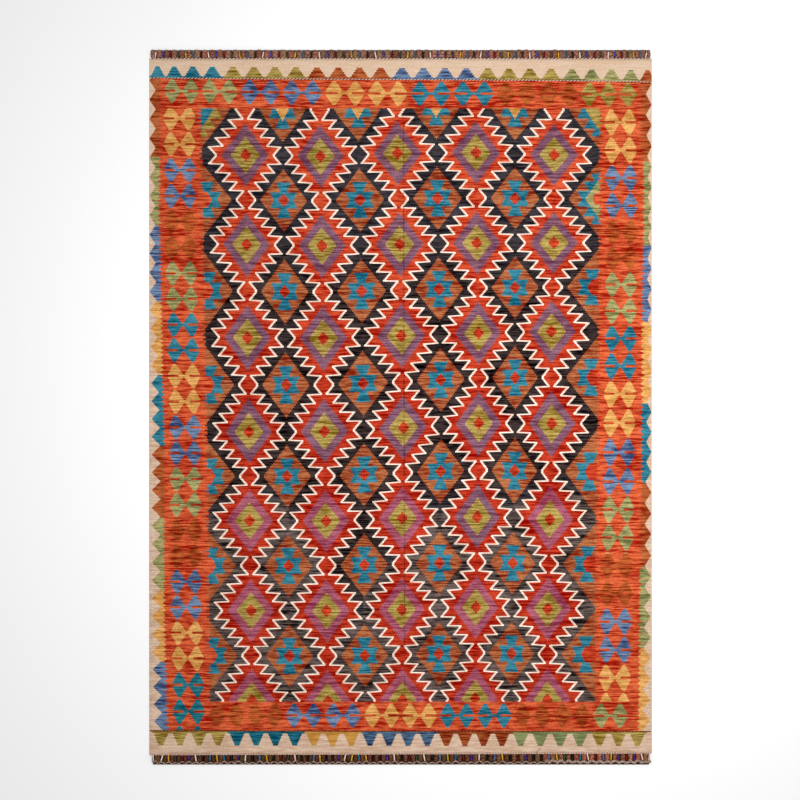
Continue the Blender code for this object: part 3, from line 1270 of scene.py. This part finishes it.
def braid_rings(end, wraps):
    """Across, middle, half width and height of each ring of a braid, and its tint and painted
    shade.
    """
    stops = [BRAIDS[end]["left"] + SHORT["braid"], *(across for across, yarn in wraps),
             BRAIDS[end]["right"] - SHORT["braid"]]
    rows, tints = [], []
    for number, (start, stop) in enumerate(zip(stops, stops[1:])):
        size, shift = random.uniform(*LUMP_SIZES), random.uniform(*LUMP_SHIFTS)
        hue, fade = random.uniform(0.0, 1.0), random.uniform(*LUMP_LIGHTS)
        first, last = number == 0, number == len(stops) - 2
        starts = 0.0 if first else NECK_SHARE[end]
        ends = 1.0 if last else 1.0 - NECK_SHARE[end]
        for ring_share in LUMP_RINGS:
            across = between(start, stop, between(starts, ends, ring_share))
            swell = (1.0 - abs(2.0 * ring_share - 1.0) ** 2.1) ** 0.5
            at_tip = (first and ring_share < 0.5) or (last and ring_share > 0.5)
            neck = TIP_SHARE if at_tip else 1.0
            rows.append((
                across,
                between(along_rug(NECK_MIDDLE[end], across),
                        along_rug(LUMP_MIDDLE[end], across) + shift, swell),
                between(along_rug(NECK_HALF_WIDTH[end], across) * neck,
                        along_rug(LUMP_HALF_WIDTH[end], across) * size, swell),
                between(NECK_HEIGHT * neck, LUMP_HEIGHT * size, swell),
            ))
            tints.append((hue, fade * line_at(BRAID_LIGHT[end], across), swell, 1.0))
    return np.array(rows).T[:, :, None], tints


def braid_core(end, wraps):
    """The thick braid of dark yarn, which swells into a lump between its wraps."""
    (across, middle, half_width, height), tints = braid_rings(end, wraps)
    turn = 2 * np.pi * np.arange(BRAID_SIDES) / BRAID_SIDES
    points = spot(across, middle + half_width * np.cos(turn),
                  height / 2 * (1 - np.sin(turn)))
    mesh = new_mesh("braid_" + end, points, ring_faces(len(across), BRAID_SIDES))
    lumps = mesh.attributes.new("Lump", "FLOAT_COLOR", "POINT")
    lumps.data.foreach_set("color", np.repeat(tints, BRAID_SIDES, 0).ravel())
    yarn = YARNS["bark" if end == "far" else "dark bark"]
    mesh.materials.append(spun_material("braid_" + end, *yarn, tint=braid_tint_and_shade))
    return new_piece("braid_" + end, mesh, "end_braid_" + end)


# The threads of the wraps: their radius and how far apart their turns lie.
WRAP_THREAD = 0.0009
WRAP_PITCH = 1.9 * WRAP_THREAD
WRAP_TURNS = {"white": 3, "yellow": 3, "black": 2, "madder": 3, "moss": 3}
MOST_WRAP_TURNS = 4
WRAP_PROUD = 0.3
WRAP_HEIGHT = 0.0092
WRAP_POINTS = 16


def braid_wraps(end, wraps):
    """A thread wound a few times round the braid at each of its necks."""
    bundle = Bundle("braid_wraps_" + end, "end_braid_" + end)
    for place, yarn in wraps:
        turns = WRAP_TURNS.get(yarn, MOST_WRAP_TURNS)
        turn = np.linspace(0, 2 * np.pi * turns, turns * WRAP_POINTS + 1)
        slant = random.uniform(-1.0, 1.0) * (1.0 if yarn == "white" else 0.5)
        run = (turn / (2 * np.pi) - turns / 2) * WRAP_PITCH / STEP
        half_width = along_rug(NECK_HALF_WIDTH[end], place) + WRAP_PROUD
        down = along_rug(NECK_MIDDLE[end], place) + half_width * np.cos(turn)
        height = WRAP_THREAD + (WRAP_HEIGHT - 2 * WRAP_THREAD) * (1 + np.sin(turn)) / 2
        path = spot(place + run + slant * np.cos(turn), down, height)
        bundle.add(*tube(path, WRAP_THREAD, 5, ALONG), yarn)
    return bundle.piece()


# The cords along the braids' edges: their strands' radius and twist radius in metres.
EDGE_STRAND = 0.0013
EDGE_TWIST = 0.0010
EDGE_PITCH = {"far": 0.0150, "near": 0.0104}


def inner_cord(end):
    """The cord between the cloth and the braid."""
    across = across_box(CLOTH, "inner cord", EDGE_PITCH[end] / STEP / POINTS_A_TURN)
    down = cloth_end(end, across) + (0.1 if end == "far" else 0.0)
    bundle = Bundle("braid_inner_cord_" + end, "end_braid_" + end)
    height = CLOTH_THICKNESS + EDGE_STRAND + 0.6 * EDGE_TWIST
    lay_cord(bundle, spot(across, down, height), EDGE_STRAND, EDGE_TWIST,
             EDGE_PITCH[end], ("white", "warp ends" if end == "far" else "bark"))
    return bundle.piece()


# The parts of each outer cord: up to where across the rug it runs, whether it loops
# over the necks or over the lumps, how far down the rug it lies, how far in it loops,
# how high it lies in metres and how much its loops rise, its strands' radius, how far
# they lie off its middle, and its pitch.
OUTER_CORDS = {
    "far": (
        {"until": 660.0, "over": "necks", "down": 50.2, "loop": 1.6, "low": 0.0042,
         "rise": 0.0026, "strand": 0.0010, "twist": 0.0008, "pitch": 0.0130},
    ),
    "near": (
        {"until": 545.0, "over": "necks", "down": 764.0, "loop": -3.1, "low": 0.0032,
         "rise": 0.0060, "strand": 0.0015, "twist": 0.0013, "pitch": 0.0104},
        {"until": 660.0, "over": "lumps", "down": 762.7, "loop": -2.6, "low": 0.0062,
         "rise": 0.0022, "strand": 0.0031, "twist": 0.0026, "pitch": 0.0150},
    ),
}
# How long a loop is at least, in steps, and how far its size varies.
LEAST_LOOP = 3.0
LOOP_SIZES = (0.5, 1.1)
# Where the warp ends that pass from the cloth through each braid stop, as a place
# down the rug, and how thick they lie, in metres.
WARP_ENDS = {"far": 50.1, "near": 764.6}
WARP_ENDS_THICKNESS = 0.0034
WARPS_SIDES = 12
WARPS_GAP = 1.5


def gathered_warps(end):
    """The warp ends that lie flat under a braid, from the cloth to its outer edge."""
    across = across_box(BRAIDS[end], "warps", WARPS_GAP)[:, None]
    inner = cloth_end(end, across) + (-0.1 if end == "far" else 0.1)
    uneven = 0.18 * np.sin(across * 1.7) * np.sin(across * 0.43)
    outer = WARP_ENDS[end] + uneven
    turn = 2 * np.pi * np.arange(WARPS_SIDES) / WARPS_SIDES
    # A flattened section: nearly straight above, round at both edges.
    out = np.sign(np.cos(turn)) * abs(np.cos(turn)) ** 0.35
    points = spot(across, (inner + outer) / 2 + abs(outer - inner) / 2 * out,
                  WARP_ENDS_THICKNESS / 2 * (1 - np.sin(turn)))
    # These warp ends are real, and their dark yarn in the gaps between the lumps and at the
    # cloth's end is also painted shade.
    bundle = Bundle("braid_warps_" + end, "end_braid_" + end)
    bundle.add(points.reshape(-1, 3), ring_faces(len(across), WARPS_SIDES), "warp ends")
    return bundle.piece()


def outer_cord(end, wraps):
    """The cord that loops from neck to neck, or from lump to lump, along the braid's
    outer edge."""
    places = [across for across, yarn in wraps]
    middles = [(one + other) / 2 for one, other in zip(places, places[1:])]
    bundle = Bundle("braid_outer_cord_" + end, "end_braid_" + end)
    yarns = ("charcoal", "ash") if end == "far" else ("rose", "ash")
    begin = BRAIDS[end]["left"] + SHORT["outer cord"]
    for part in OUTER_CORDS[end]:
        held_at = middles if part["over"] == "necks" else places
        until = min(part["until"], BRAIDS[end]["right"] - SHORT["outer cord"])
        inside = (begin + LEAST_LOOP, until - LEAST_LOOP)
        stops = [begin, *(at for at in held_at if inside[0] < at < inside[1]), until]
        begin = until
        paths = []
        for start, stop in zip(stops, stops[1:]):
            across = evenly(start, stop, part["pitch"] / STEP / POINTS_A_TURN)[:-1]
            loop = np.sin(np.pi * (across - start) / (stop - start))
            loop = loop * random.uniform(*LOOP_SIZES)
            paths.append(spot(across, part["down"] + part["loop"] * loop,
                              part["low"] + part["rise"] * loop))
        lay_cord(bundle, np.concatenate(paths), part["strand"], part["twist"],
                 part["pitch"], yarns)
    return bundle.piece()


# A small knot at the near braid's right end, and a thread that lies loose on the
# cloth, as (across, down) where each bends.
KNOT_PLACE = (649.6, 761.2)
KNOT_HEIGHT = 0.0052
KNOT_RADIUS = 0.0042
KNOT_FLATNESS = 0.75
KNOT_STRAND = 0.0019
KNOT_TURNS = 2.6
LOOSE_THREAD = ((535.0, 754.6), (537.0, 751.6), (538.6, 750.2), (540.6, 747.4))
LOOSE_THREAD_RADIUS = 0.0006


def knot_and_thread():
    bundle = Bundle("braid_knot_near", "end_braid_near")
    turn = np.linspace(0.0, 2 * np.pi * KNOT_TURNS, 44)
    loops = (np.cos(turn), np.sin(turn), KNOT_FLATNESS * np.sin(1.4 * turn))
    path = spot(*KNOT_PLACE, KNOT_HEIGHT) + KNOT_RADIUS * np.stack(loops, -1)
    bundle.add(*tube(path, KNOT_STRAND, 6, UP), "ash")
    across, down = np.array(LOOSE_THREAD).T
    along = np.linspace(0, len(across) - 1, 25)
    order = np.arange(len(across))
    thread = spot(np.interp(along, order, across), np.interp(along, order, down),
                  CLOTH_THICKNESS + 1.5 * LOOSE_THREAD_RADIUS)
    bundle.add(*tube(thread, LOOSE_THREAD_RADIUS, 5, UP), "charcoal")
    return bundle.piece()


def end_braid(end):
    wraps = wraps_of(end)
    pieces = [braid_core(end, wraps), braid_wraps(end, wraps), gathered_warps(end),
              inner_cord(end), outer_cord(end, wraps)]
    return pieces + ([knot_and_thread()] if end == "near" else [])


# ------------------------------------------------------------- floor and light
FLOOR_SIZE = 30.0
# The floor lies just under the rug's underside.
FLOOR_DROP = 0.0002
FLOOR_WHITE = (0.99, 0.99, 0.99, 1.0)
SKY_WHITE = (1.0, 1.0, 1.0, 1.0)
SKY_STRENGTH = 0.66
KEY_WATTS = 50.0
KEY_SIZE = 1.2
KEY_PLACE = (0.6, 0.2, 2.6)


def floor():
    bpy.ops.mesh.primitive_plane_add(size=FLOOR_SIZE, location=(0.0, 0.0, -FLOOR_DROP))
    plane = bpy.context.active_object
    plane.name = "floor"
    material, tree, shader = new_material("pale_floor")
    shader.inputs["Base Color"].default_value = FLOOR_WHITE
    shader.inputs["Roughness"].default_value = 0.9
    shader.inputs["Specular IOR Level"].default_value = 0.1
    plane.data.materials.append(material)


def lights():
    world = bpy.data.worlds.new("studio")
    world.use_nodes = True
    sky = world.node_tree.nodes["Background"]
    sky.inputs["Color"].default_value = SKY_WHITE
    sky.inputs["Strength"].default_value = SKY_STRENGTH
    bpy.context.scene.world = world
    lamp = bpy.data.lights.new("soft_key", "AREA")
    lamp.energy = KEY_WATTS
    lamp.size = KEY_SIZE
    key = bpy.data.objects.new("soft_key", lamp)
    key.location = KEY_PLACE
    key.visible_camera = False
    bpy.context.scene.collection.objects.link(key)


LENS_MM = 85.0
SENSOR_MM = 36.0
PHOTO_WIDTH = 800


def camera():
    """Straight above the rug. The photo is 3.2 m wide at the cloth."""
    lens = bpy.data.cameras.new("camera")
    lens.lens = LENS_MM
    lens.sensor_width = SENSOR_MM
    view = bpy.data.objects.new("camera", lens)
    height = PHOTO_WIDTH * STEP * LENS_MM / SENSOR_MM + CLOTH_THICKNESS
    middle = PHOTO_WIDTH / 2
    view.location = (
        (middle - RUG_MIDDLE_ACROSS) * STEP, (RUG_MIDDLE_DOWN - middle) * STEP, height)
    bpy.context.scene.collection.objects.link(view)
    bpy.context.scene.camera = view


cloth = kilim_cloth()
trims = [twined_line(end, **TWINES[end]) for end in ("far", "near")]
for end in ("far", "near"):
    trims += end_braid(end)
floor()
lights()
camera()
bpy.context.scene.view_settings.view_transform = "Standard"
